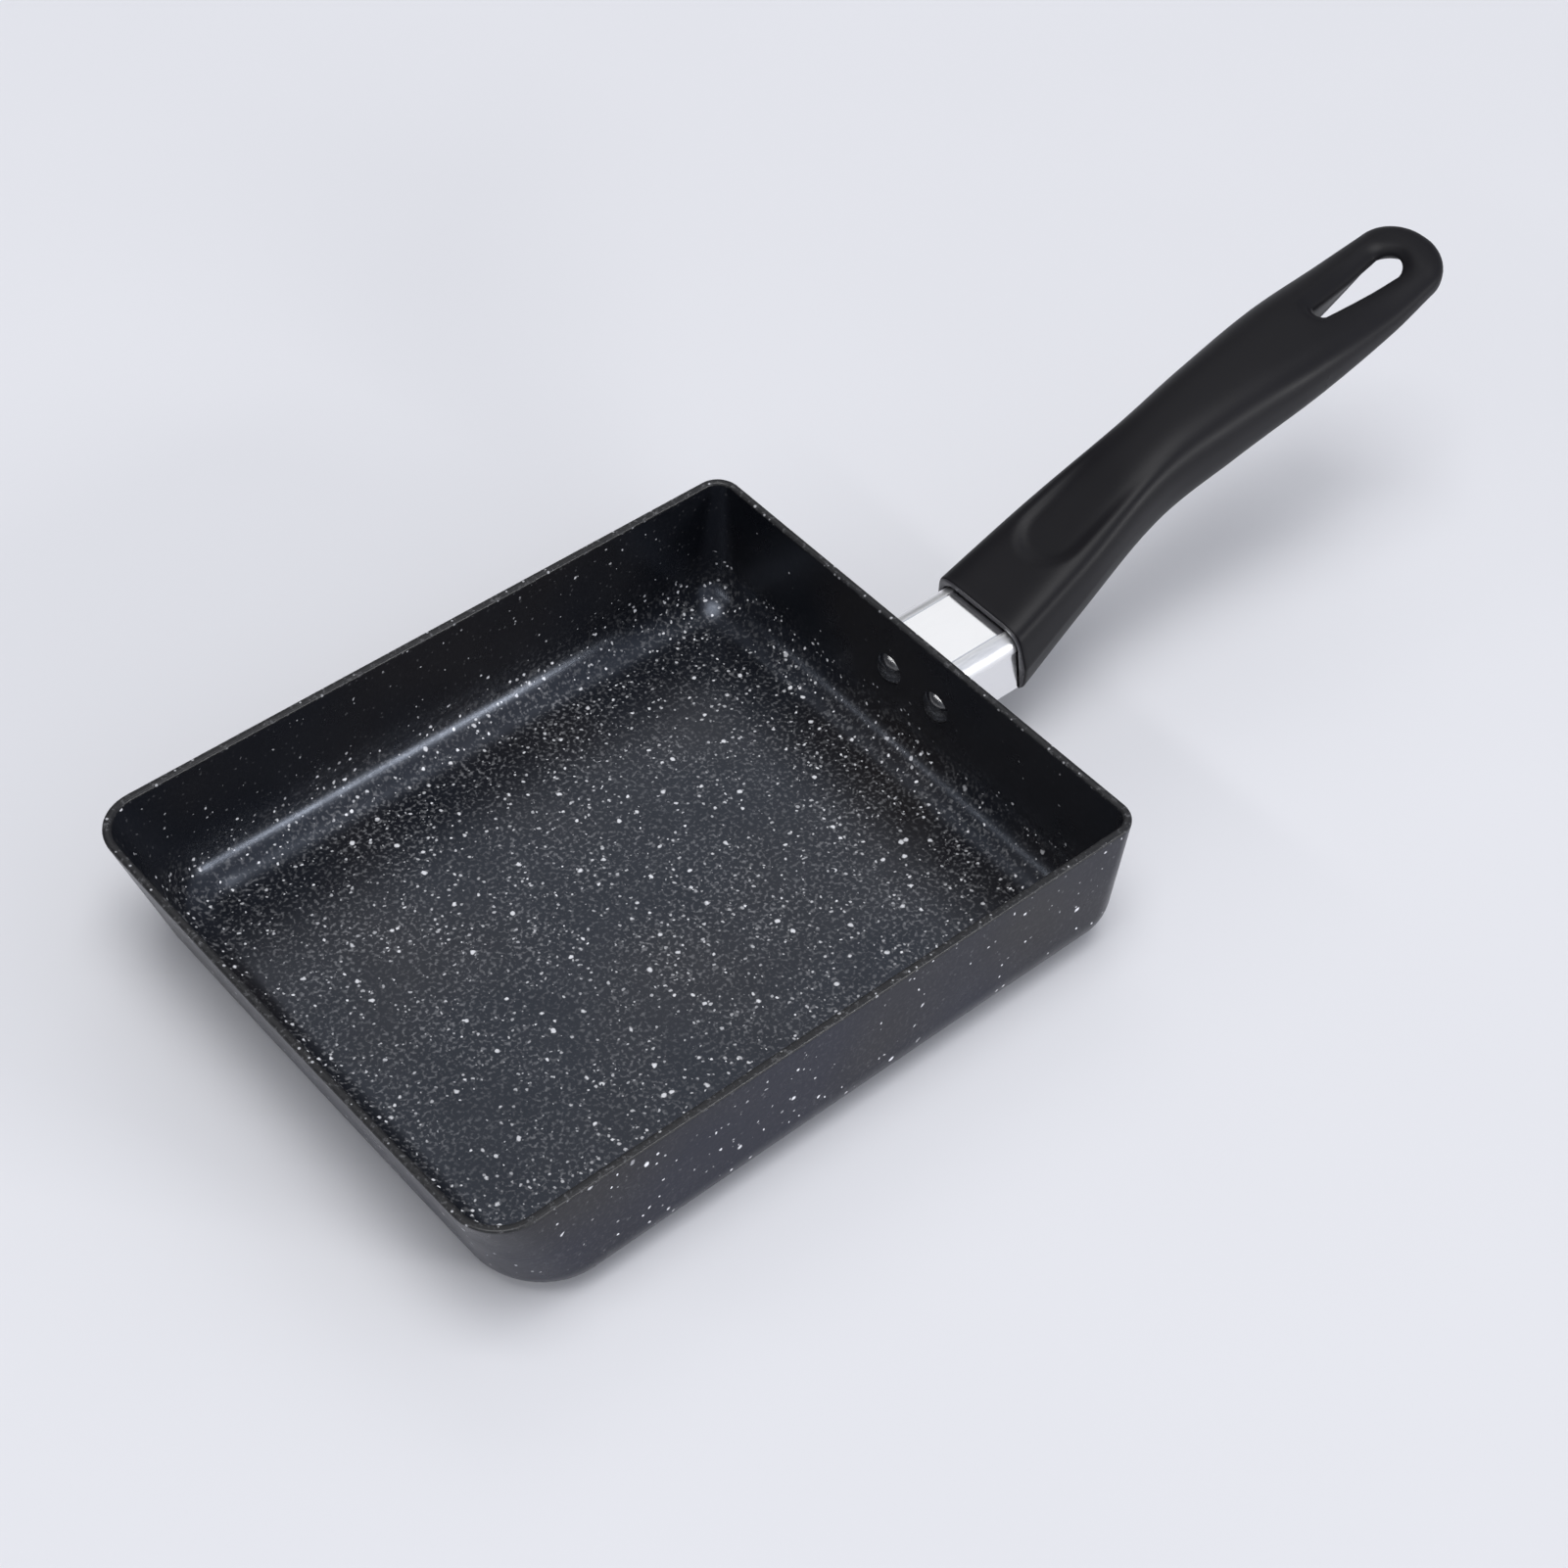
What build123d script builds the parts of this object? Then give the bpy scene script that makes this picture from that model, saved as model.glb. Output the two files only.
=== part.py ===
from build123d import *
import math
import os

# Rectangular omelette pan. The origin is on the table under the middle of the rim,
# the handle points along +X and the rim faces up.

# Pan body, pressed from one aluminium sheet
rim_length = 180.0
rim_width = 144.0
pan_height = 38.0
pan_sheet = 2.0
front_lean = 12.0
side_lean = 0.2
rim_bow = 0.8
foot_bow = 0.3
rim_front_radius = 11.5
rim_back_radius = 6.0
foot_front_radius = 20.0
foot_back_radius = 12.5
foot_fillet = 12.0
rim_round = 0.7

# Rivets through the handle wall
rivet_spacing = 16.0
rivet_height = 22.3
rivet_shank_diameter = 5.0
rivet_head_diameter = 8.5
rivet_head_rise = 1.9
rivet_tail_diameter = 6.6
rivet_tail_rise = 1.6
rivet_tail_round = 0.6
rivet_fit = 0.1

# Bracket, one bent strip of steel
bracket_sheet = 2.5
bracket_side_gap = 0.4
bracket_edge_margin = 5.6
bracket_tongue_width = 14.0
bracket_under_guard = 2.05
bracket_end_reach = 12.0
bracket_reach = 58.0
bracket_tab_rise = 4.4
bracket_bend_radius = 4.0
bracket_tab_bend_radius = 2.4
bracket_corner_radius = 3.0

# Flame guard, an inverted U of bright sheet between the pan and the handle
guard_width = 25.2
guard_top = 35.3
guard_bottom = 18.2
guard_sheet = 1.0
guard_corner_radius = 4.0
guard_visible_length = 17.8
guard_hidden_length = 5.4
guard_fit = 0.25

# Handle, moulded in one piece. Its mouth slants back below, so the floor wall is thickest
# under the mouth's upper edge, where it is measured.
handle_length = 145.7
handle_rise = 37.8
handle_depth = 22.0
handle_grip_width = 27.7
mouth_roof_wall = 2.25
mouth_floor_wall = 5.55
mouth_side_wall = 2.7
mouth_slant = 4.2
mouth_shoulder = 1.2
hollow_wall = 3.2
hollow_corner_radius = 3.0

# Thumb hollow in the top of the handle
thumb_start = 13.6
thumb_length = 40.0
thumb_width = 18.5
thumb_depth = 0.9

# Hanging slot
slot_to_tip = 9.5
slot_length = 28.5
slot_near_width = 9.2
slot_far_width = 12.6
slot_near_radius = 1.6
slot_lip = 1.2
slot_rim_steepness = 30

# Handle screw with its washer and nut
screw_lift_at_tab = 1.0
screw_lift_at_slot = 0.7
screw_diameter = 5.0
screw_fit = 0.3
screw_head_diameter = 8.0
screw_head_rise = 2.8
screw_head_round = 1.0
screw_over_tongue = 6.5
screw_past_nut = 2.5
screw_seat_depth = 5.2
screw_pocket_diameter = 8.8
recess_width = 1.1
recess_length = 4.6
recess_depth = 1.7
washer_diameter = 8.0
washer_thickness = 1.2
washer_split = 0.8
nut_width = 8.0
nut_thickness = 4.0
thread_fit = 0.1

# One length by which every cut runs past what it cuts
overrun = 5.0

# Outline of the handle, as shares of its length, rise, depth and grip width
station_place_shares = (0.0, 0.152, 0.331, 0.496, 0.674, 0.839, 0.935)
station_rise_shares = (0.0, 0.279, 0.611, 0.785, 0.888, 0.935, 1.0)
grip_depth_shares = (0.977, 0.977, 0.923, 0.755, 0.509, 0.409)
grip_width_shares = (0.989, 0.784, 0.882, 1.0, 0.968, 0.888)

# Section of the handle at each station: how square its upper and lower halves are (2 is an
# ellipse), and how far the sides draw in above and below the side crease, as a share of the width
upper_squareness = (6.0, 4.0, 2.8, 2.8, 2.8, 2.8, 2.8)
lower_squareness = (5.0, 3.4, 2.8, 2.8, 2.8, 2.8, 2.8)
upper_lean_shares = (0.12, 0.08, 0.0, 0.0, 0.0, 0.0, 0.0)
lower_lean_shares = (0.1, 0.05, 0.0, 0.0, 0.0, 0.0, 0.0)
section_steps = 12
handle_steps = 14

# Angles at which the round tip is cut into sections, and how its depth follows its width
tip_angles = (24, 44, 60, 73, 83)
tip_roundness = 0.6

# Places that follow from the sizes
wall_face = rim_length / 2
rivet_places = {"left": rivet_spacing / 2, "right": -rivet_spacing / 2}
mouth_face = wall_face + guard_visible_length
tip_face = mouth_face + handle_length
mouth_top = guard_top + guard_fit + mouth_roof_wall
mouth_bottom = guard_bottom - guard_fit - mouth_floor_wall
bracket_foot_bottom = rivet_height - bracket_edge_margin
slot_far_face = tip_face - slot_to_tip
slot_near_face = slot_far_face - slot_length
tab_face = wall_face + bracket_reach
mouth_width = guard_width + 2 * guard_fit + 2 * mouth_side_wall
mouth_depth = mouth_top - mouth_bottom
station_widths = [mouth_width] + [handle_grip_width * share for share in grip_width_shares]
station_depths = [mouth_depth] + [handle_depth * share for share in grip_depth_shares]
bracket_level_height = guard_top - guard_sheet - bracket_under_guard - bracket_sheet / 2
bracket_foot_width = guard_width - 2 * guard_sheet - 2 * bracket_side_gap


def at_place(values, place):
    """Value between the handle's stations, on a smooth curve through all of them."""
    places = station_place_shares
    last = len(places) - 1
    start = max(0, min(last - 1, sum(place >= station for station in places) - 1))

    def slope(station):
        before, after = max(station - 1, 0), min(station + 1, last)
        return (values[after] - values[before]) / (places[after] - places[before])

    width = places[start + 1] - places[start]
    way = (place - places[start]) / width
    return (values[start] * (1 - way) ** 2 * (1 + 2 * way)
            + values[start + 1] * way ** 2 * (3 - 2 * way)
            + slope(start) * width * way * (1 - way) ** 2
            - slope(start + 1) * width * way ** 2 * (1 - way))


def handle_levels(x):
    """Height of the handle's top and of its underside at a place along the handle."""
    place = (x - mouth_face) / handle_length
    top = mouth_top + handle_rise * at_place(station_rise_shares, place)
    return top, top - at_place(station_depths, place)


def handle_half_width(x):
    place = (x - mouth_face) / handle_length
    return at_place(station_widths, place) / 2


def handle_middle(x):
    return sum(handle_levels(x)) / 2


# The screw runs from the bracket's end tab to the near wall of the hanging slot
tab_point = Vector(tab_face, 0, handle_middle(tab_face) + screw_lift_at_tab)
slot_point = Vector(slot_near_face, 0, handle_middle(slot_near_face) + screw_lift_at_slot)
screw_way = (slot_point - tab_point).normalized()
screw_up = Vector(-screw_way.Z, 0, screw_way.X)
seat_distance = (slot_point - tab_point).length - screw_seat_depth


def pan_outline(level, inset):
    """Flat outline of the pan at one level, drawn in from the outer skin by the inset."""
    rise = level / pan_height
    back = rim_length / 2 - inset
    front = front_lean * (1 - rise) + inset - rim_length / 2
    side = rim_width / 2 - side_lean * (1 - rise) - inset
    bow = foot_bow + (rim_bow - foot_bow) * rise
    front_radius = foot_front_radius + (rim_front_radius - foot_front_radius) * rise - inset
    back_radius = foot_back_radius + (rim_back_radius - foot_back_radius) * rise - inset
    with BuildSketch(Plane.XY.offset(level)) as outline:
        with BuildLine():
            Polyline((front, side), (back, side), (back, -side), (front, -side))
            ThreePointArc((front, -side), (front - bow, 0), (front, side))
        make_face()
        corners = outline.vertices().sort_by(Axis.X)
        fillet(corners[:2], front_radius)
        corners = outline.vertices().group_by(Axis.X)[-1]
        fillet(corners, back_radius)
    return outline.sketch


def pan_form(bottom, top, inset, edge_radius):
    """Solid between two levels, with the edge of its lower face rounded."""
    form = loft([pan_outline(bottom, inset), pan_outline(top, inset)], ruled=True)
    return fillet(form.faces().sort_by(Axis.Z)[0].edges(), edge_radius)


def along_wall(distance, y, z):
    """Plane square to +X, its origin the distance outside the handle wall."""
    return Plane(origin=(wall_face + distance, y, z), x_dir=(0, 1, 0), z_dir=(1, 0, 0))


def rivet_hole(y):
    """Round cutter through the pan wall and the bracket foot."""
    radius = rivet_shank_diameter / 2 + rivet_fit
    length = pan_sheet + bracket_sheet + 2 * overrun
    return along_wall(-pan_sheet - overrun, y, rivet_height) * Cylinder(
        radius, length, align=(Align.CENTER, Align.CENTER, Align.MIN))


def make_pan_body():
    outer = pan_form(0, pan_height, 0, foot_fillet)
    inner = pan_form(pan_sheet, pan_height + overrun, pan_sheet, foot_fillet - pan_sheet)
    body = outer - inner
    body = fillet(body.faces().sort_by(Axis.Z)[-1].edges(), rim_round)
    for y in rivet_places.values():
        body -= rivet_hole(y)
    return body


def make_rivet(y):
    """Solid rivet: domed head inside the pan, shank, and formed tail on the bracket foot."""
    shank_end = pan_sheet + bracket_sheet
    with BuildPart() as rivet:
        with BuildSketch(Plane.XZ):
            with BuildLine():
                head = rivet_head_diameter / 2
                tail = rivet_tail_diameter / 2
                shank = rivet_shank_diameter / 2
                TangentArc((0, -rivet_head_rise), (head, 0), tangent=(1, 0))
                Polyline((head, 0), (shank, 0), (shank, shank_end), (tail, shank_end),
                         (tail, shank_end + rivet_tail_rise), (0, shank_end + rivet_tail_rise),
                         (0, -rivet_head_rise))
            make_face()
        revolve(axis=Axis.Z)
        fillet(rivet.faces().sort_by(Axis.Z)[-1].edges(), rivet_tail_round)
    return along_wall(-pan_sheet, y, rivet_height) * rivet.part


def screw_plane(distance):
    """Plane square to the screw, its origin the distance from the tab towards the hanging slot."""
    return Plane(origin=tab_point + screw_way * distance, x_dir=(0, 1, 0), z_dir=screw_way)


def screw_cylinder(start, end, radius):
    """Round bar on the screw's axis between two distances from the tab."""
    return screw_plane(start) * Cylinder(
        radius, end - start, align=(Align.CENTER, Align.CENTER, Align.MIN))


def tongue_line():
    """Middle line of the bent strip in side view, from the foot to the top of the end tab."""
    foot = wall_face + bracket_sheet / 2
    level_end = mouth_face + guard_hidden_length
    tab_middle = tab_point - screw_way * (bracket_sheet / 2)
    tab_root = tab_middle - screw_up * screw_over_tongue
    slope_end = tab_root - screw_way * bracket_end_reach
    tab_top = tab_middle + screw_up * bracket_tab_rise
    return [(foot, bracket_foot_bottom), (foot, bracket_level_height),
            (level_end, bracket_level_height),
            (slope_end.X, slope_end.Z), (tab_root.X, tab_root.Z), (tab_top.X, tab_top.Z)]


def make_bracket():
    """Foot plate on the pan wall and a bent tongue whose end tab holds the nut."""
    with BuildSketch(Plane.XZ) as side:
        with BuildLine():
            FilletPolyline(*tongue_line(), radius=[bracket_bend_radius] * 3 + [bracket_tab_bend_radius])
        trace(line_width=bracket_sheet)
    tongue = extrude(side.sketch, bracket_tongue_width / 2, both=True)
    foot_outline = RectangleRounded(bracket_foot_width, 2 * bracket_edge_margin, bracket_corner_radius)
    foot = extrude(along_wall(0, 0, rivet_height) * foot_outline, bracket_sheet)
    bracket = tongue + foot
    for y in rivet_places.values():
        bracket -= rivet_hole(y)
    bracket -= screw_cylinder(-overrun, overrun, screw_diameter / 2 + screw_fit)
    return bracket


def guard_outline(inset, bottom):
    """Square arch of the guard seen along the handle, drawn in by the inset, down to the bottom."""
    top = guard_top - inset
    arch = Pos(0, (top + bottom) / 2) * Rectangle(guard_width - 2 * inset, top - bottom)
    top_corners = arch.vertices().group_by(Axis.Y)[-1]
    return fillet(top_corners, guard_corner_radius - inset)


def make_guard():
    """Inverted U sheet from the pan wall into the handle's mouth."""
    section = guard_outline(0, guard_bottom) - guard_outline(guard_sheet, guard_bottom - overrun)
    return extrude(along_wall(0, 0, 0) * section, guard_visible_length + guard_hidden_length)


def half_curve(side, half_width, half_depth, squareness, lean):
    """Upper or lower half of a section, from one side crease to the other."""
    points = []
    for step in range(section_steps + 1):
        angle = math.pi * step / section_steps
        across = math.cos(angle)
        up = max(math.sin(angle), 0) ** (2 / squareness)
        width = math.copysign(abs(across) ** (2 / squareness), across) * (1 - lean * up)
        points.append((half_width * width, side * half_depth * up))
    points[0] = (half_width, 0)
    points[-1] = (-half_width, 0)
    lean_way = -lean * half_width
    rise_way = side * half_depth
    return Spline(*points, tangents=[(lean_way, rise_way), (lean_way, -rise_way)])


def handle_section(x, top, bottom, half_width, place):
    """Flat section of the handle, square to +X, in the form of the nearest stations."""
    half_depth = (top - bottom) / 2
    plane = Plane(origin=(x, 0, (top + bottom) / 2), x_dir=(0, 1, 0), z_dir=(1, 0, 0))
    upper = half_curve(1, half_width, half_depth, at_place(upper_squareness, place),
                       max(at_place(upper_lean_shares, place), 0))
    lower = half_curve(-1, half_width, half_depth, at_place(lower_squareness, place),
                       max(at_place(lower_lean_shares, place), 0))
    return Face(Wire([plane * upper.edge(), plane * lower.edge()]))


def handle_sections():
    """Sections from the mouth to the end of the round tip."""
    sections = []
    root_share = station_place_shares[-1]
    for step in range(handle_steps + 1):
        place = root_share * step / handle_steps
        x = mouth_face + handle_length * place
        sections.append(handle_section(x, *handle_levels(x), handle_half_width(x), place))
    tip_root = mouth_face + handle_length * root_share
    tip_length = tip_face - tip_root
    root_top, root_bottom = handle_levels(tip_root)
    before_top, before_bottom = handle_levels(tip_root - tip_length)
    slope = (root_top + root_bottom - before_top - before_bottom) / 2 / tip_length
    for angle in tip_angles:
        reach = tip_length * math.sin(math.radians(angle))
        width_share = math.cos(math.radians(angle))
        half_depth = (root_top - root_bottom) / 2 * width_share ** tip_roundness
        middle = (root_top + root_bottom) / 2 + slope * reach
        sections.append(handle_section(tip_root + reach, middle + half_depth, middle - half_depth,
                                       handle_half_width(tip_root) * width_share, root_share))
    return sections


def rounded_block(plane, width, low, high, radius):
    """Rectangle with rounded corners on a plane, between two heights on it."""
    return plane * Pos(0, (low + high) / 2) * RectangleRounded(width, high - low, radius)


def square_plane(x):
    """Plane square to +X at a place along the handle, its origin on the table."""
    return Plane(origin=(x, 0, 0), x_dir=(0, 1, 0), z_dir=(1, 0, 0))


def mouth_cutter():
    """Wedge that slants the mouth back from its upper edge."""
    high = (mouth_face - mouth_slant, mouth_top + mouth_depth)
    low = (mouth_face + 2 * mouth_slant, mouth_bottom - mouth_depth)
    wedge = make_face(Polyline(high, low, (high[0], low[1]), close=True))
    return extrude(Plane.XZ * wedge, mouth_width, both=True)


def handle_socket():
    """Space in the mouth that takes the hidden end of the guard."""
    section = guard_outline(-guard_fit, guard_bottom - guard_fit)
    return extrude(square_plane(mouth_face - overrun) * section,
                   overrun + guard_hidden_length + guard_fit)


def handle_hollow():
    """Space for the bracket's tongue, from the socket to the seat of the end tab."""
    socket_end = mouth_face + guard_hidden_length + guard_fit
    neck = mouth_face + handle_length * station_place_shares[1]
    start_width = guard_width + 2 * guard_fit - 2 * mouth_shoulder
    start_low = handle_levels(socket_end)[1] + hollow_wall
    start_high = guard_top + guard_fit - mouth_shoulder
    start = rounded_block(square_plane(socket_end), start_width, start_low, start_high,
                          hollow_corner_radius)
    neck_top, neck_bottom = handle_levels(neck)
    middle = rounded_block(square_plane(neck), 2 * (handle_half_width(neck) - hollow_wall),
                           neck_bottom + hollow_wall, neck_top - hollow_wall - thumb_depth,
                           hollow_corner_radius)
    end_top, end_bottom = handle_levels(tab_face)
    end_low = (end_bottom + hollow_wall - tab_point.Z) / screw_way.X
    end_high = (end_top - hollow_wall - tab_point.Z) / screw_way.X
    end = rounded_block(screw_plane(0), 2 * (handle_half_width(tab_face) - hollow_wall),
                        end_low, end_high, hollow_corner_radius)
    return loft([start, middle, end], ruled=True)


def slot_cutter():
    """Hanging slot, square at its near end and round at the far end."""
    far_radius = slot_far_width / 2
    far_middle = slot_far_face - far_radius
    with BuildSketch(Plane.XY) as outline:
        with Locations((far_middle, 0)):
            Circle(far_radius)
        for side in (-1, 1):
            corner = side * (slot_near_width / 2 - slot_near_radius)
            with Locations((slot_near_face + slot_near_radius, corner)):
                Circle(slot_near_radius)
        make_hull()
    return extrude(outline.sketch, mouth_top + handle_rise + overrun)


def thumb_cutter(form):
    """Space over the form lowered at its near end, inside a plan with a round near end."""
    start = mouth_face + thumb_start
    end = start + thumb_length
    near_radius = thumb_width / 2
    pivot = Axis((end, 0, handle_levels(end)[0]), (0, 1, 0))
    lowered = form.rotate(pivot, -math.degrees(math.atan2(thumb_depth, thumb_length)))
    plan = Pos(start + near_radius, 0) * Circle(near_radius)
    plan += Pos(start + near_radius, 0) * Rectangle(
        end - start, thumb_width, align=(Align.MIN, Align.CENTER))
    return extrude(Pos(0, 0, handle_middle(start)) * plan, handle_rise) - lowered


def slot_rims(handle):
    """Edges where the hanging slot opens in the top and in the underside."""
    rims = []
    for edge in handle.edges():
        beside_slot = slot_near_face - slot_lip < edge.center().X < slot_far_face + slot_lip
        if beside_slot and abs(edge.tangent_at(0.5).Z) < math.sin(math.radians(slot_rim_steepness)):
            rims.append(edge)
    return rims


def make_handle():
    form = loft(handle_sections())
    handle = form - thumb_cutter(form) - mouth_cutter()
    handle -= slot_cutter()
    handle = fillet(slot_rims(handle), slot_lip)
    handle -= handle_socket()
    handle -= handle_hollow()
    handle -= screw_cylinder(-overrun, seat_distance + overrun, screw_diameter / 2 + screw_fit)
    handle -= screw_cylinder(seat_distance, seat_distance + screw_seat_depth + overrun,
                             screw_pocket_diameter / 2)
    return handle


def make_screw():
    """Pan head screw with a cross recess, its thread drawn as a plain bar."""
    head_base = seat_distance + washer_thickness
    shank_end = -bracket_sheet - nut_thickness - screw_past_nut
    head = screw_cylinder(head_base, head_base + screw_head_rise, screw_head_diameter / 2)
    crown = head.faces().sort_by(Axis(tab_point, screw_way))[-1].edges()
    head = fillet(crown, screw_head_round)
    screw = head + screw_cylinder(shank_end, head_base, screw_diameter / 2)
    for width, length in ((recess_width, recess_length), (recess_length, recess_width)):
        screw -= screw_plane(head_base + screw_head_rise - recess_depth) * Box(
            width, length, recess_depth + overrun, align=(Align.CENTER, Align.CENTER, Align.MIN))
    return screw


def make_washer():
    """Split ring under the screw's head."""
    ring = screw_cylinder(seat_distance, seat_distance + washer_thickness, washer_diameter / 2)
    ring -= screw_cylinder(seat_distance - overrun, seat_distance + washer_thickness + overrun,
                           screw_diameter / 2 + screw_fit)
    split = Box(washer_diameter, washer_split, washer_thickness,
                align=(Align.MIN, Align.CENTER, Align.MIN))
    return ring - screw_plane(seat_distance) * split


def make_nut():
    """Six-sided nut behind the bracket's end tab."""
    outline = RegularPolygon(nut_width / 2, 6, major_radius=False)
    nut = extrude(screw_plane(-bracket_sheet - nut_thickness) * outline, nut_thickness)
    return nut - screw_cylinder(-bracket_sheet - nut_thickness - overrun, overrun,
                                screw_diameter / 2 + thread_fit)


pieces = {
    "pan_body": make_pan_body(),
    "handle_bracket": make_bracket(),
    "flame_guard": make_guard(),
    "handle": make_handle(),
    "handle_screw": make_screw(),
    "spring_washer": make_washer(),
    "bracket_nut": make_nut(),
}
for side, y in rivet_places.items():
    pieces["rivet_" + side] = make_rivet(y)

os.makedirs("parts", exist_ok=True)
for name, piece in pieces.items():
    export_step(piece, "parts/" + name + ".step")
    print(name, round(piece.volume, 1))
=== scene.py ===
import math

import bmesh
import bpy
from mathutils import Matrix, Vector


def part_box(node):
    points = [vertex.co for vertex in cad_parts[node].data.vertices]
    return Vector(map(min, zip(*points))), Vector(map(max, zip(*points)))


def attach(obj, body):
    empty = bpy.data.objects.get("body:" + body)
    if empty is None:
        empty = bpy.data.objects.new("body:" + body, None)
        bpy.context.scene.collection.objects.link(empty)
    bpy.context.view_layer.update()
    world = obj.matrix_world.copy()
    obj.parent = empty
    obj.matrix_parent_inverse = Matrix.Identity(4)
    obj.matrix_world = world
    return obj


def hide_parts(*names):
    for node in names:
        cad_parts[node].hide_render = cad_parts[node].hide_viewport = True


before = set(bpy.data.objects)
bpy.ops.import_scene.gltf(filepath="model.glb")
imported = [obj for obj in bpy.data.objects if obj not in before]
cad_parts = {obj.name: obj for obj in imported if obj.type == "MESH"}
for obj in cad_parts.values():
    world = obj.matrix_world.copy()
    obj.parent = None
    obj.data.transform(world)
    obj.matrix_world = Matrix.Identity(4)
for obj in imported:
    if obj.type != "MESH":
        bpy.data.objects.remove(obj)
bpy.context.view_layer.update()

# Pan body, pressed from one sheet: the sizes of the CAD model in metres, with a little less bow in
# the rim, so that the rim stays inside the CAD box
rim_length = 0.180
rim_width = 0.144
pan_height = 0.038
pan_sheet = 0.002
front_lean = 0.012
side_lean = 0.0002
rim_bow = 0.0006
foot_bow = 0.0003
rim_front_radius = 0.0115
rim_back_radius = 0.006
foot_front_radius = 0.020
foot_back_radius = 0.0125
foot_fillet = 0.012
rim_round = 0.0007
floor_middle_x = 0.006

# Steps round the pan's outline and over its profile
straight_steps = 30
corner_steps = 14
fillet_steps = 14
rim_steps = 5
floor_steps = 10
support_width = 0.0006
wall_shares = (0.25, 0.5, 0.75)

# Handle, in one piece round the guard and the bracket
guard_low, guard_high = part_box("flame_guard")
handle_low, handle_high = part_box("handle")
guard_fit = 0.00025
guard_corner_radius = 0.004
guard_sheet = 0.001
crease_width = 0.0004
crease_depth = 0.00015
mouth_face = handle_low.x
tip_face = handle_high.x
handle_length = tip_face - mouth_face
handle_rise = 0.0378
handle_depth = 0.022
handle_grip_width = 0.0277
mouth_roof_wall = 0.00225
mouth_floor_wall = 0.00555
mouth_side_wall = 0.0027
mouth_top = guard_high.z + guard_fit + mouth_roof_wall
mouth_bottom = guard_low.z - guard_fit - mouth_floor_wall
mouth_width = 2 * (guard_high.y + guard_fit + mouth_side_wall)
mouth_slant = 0.0042
mouth_shoulder = 0.0012
mouth_round = 0.0006
mouth_edge = 0.0002
slant_fading = 0.018
hollow_wall = 0.0032
hollow_corner_radius = 0.003
tab_face = 0.148
station_place_shares = (0.0, 0.152, 0.331, 0.496, 0.674, 0.839, 0.935)
station_rise_shares = (0.0, 0.279, 0.611, 0.785, 0.888, 0.935, 1.0)
grip_depth_shares = (0.977, 0.977, 0.923, 0.755, 0.509, 0.409)
grip_width_shares = (0.989, 0.784, 0.882, 1.0, 0.968, 0.888)
station_widths = [mouth_width] + [handle_grip_width * share for share in grip_width_shares]
station_depths = [mouth_top - mouth_bottom] + [handle_depth * share for share in grip_depth_shares]
upper_squareness = (7.0, 5.0, 3.2, 2.8, 2.8, 2.8, 2.8)
lower_squareness = (5.0, 3.4, 2.8, 2.8, 2.8, 2.8, 2.8)
upper_lean_shares = (0.12, 0.08, 0.0, 0.0, 0.0, 0.0, 0.0)
lower_lean_shares = (0.1, 0.05, 0.0, 0.0, 0.0, 0.0, 0.0)
tip_roundness = 0.6

# Thumb hollow and hanging slot
thumb_start = 0.0136
thumb_length = 0.046
thumb_full = 0.010
thumb_width = 0.0185
thumb_lip = 0.003
thumb_depth = 0.0011
slot_to_tip = 0.0095
slot_length = 0.0285
slot_zone_margin = 0.009
slot_far_face = tip_face - slot_to_tip
slot_near_face = slot_far_face - slot_length
slot_zone_face = slot_near_face - slot_zone_margin
slot_near_radius = 0.0016

# Widths of the slot's waist at its near and far end, and width and drop of its lip, seen from
# above and from below
slot_top_widths = (0.0038, 0.0078)
slot_top_lip = (0.0046, 0.0030)
slot_low_widths = (0.0060, 0.0106)
slot_low_lip = (0.0040, 0.0044)
slot_low_reach = 0.0026

# Screw line and the space round the screw
screw_lift_at_tab = 0.001
screw_lift_at_slot = 0.0007
screw_seat_depth = 0.0052
screw_tunnel_radius = 0.0028
screw_pocket_radius = 0.0044
cut_overrun = 0.004

# Steps of the handle's mesh
half_steps = 48
skin_steps = 96
side_steps = 22
tip_steps = 28
slot_corner_steps = 8
sheet_steps = 16
sheet_crowding = 2.8
lip_steps = 8
wall_steps = 4
mouth_round_steps = 4
bore_steps = 48
bend_steps = 16
sharp_angle = math.radians(50)
crease_angle = math.radians(25)

# Distances under which points count as one, and the least share that is divided by
same_ring_distance = 1e-7
joining_distance = 1e-6
least_share = 1e-9

# Camera of the photograph
camera_place = Vector((-0.2940, -0.3613, 0.5589))
camera_azimuth = math.radians(-43.52)
camera_elevation = math.radians(47.47)
camera_roll = math.radians(3.7)
camera_lens = 73.81
camera_sensor = 36.0

# Range that most of a noise lies in, and its middle as a colour
noise_low = 0.3
noise_high = 0.7
noise_middle = (0.5, 0.5, 0.5)

# Refractive index of the coating and the plastic
resin_index = 1.5

# Flecks: the smallest as a share of the largest, their full part, and their brightness
least_fleck_share = 0.35
full_fleck_share = 0.6
fleck_lights = (0.35, 1.2)

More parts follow.
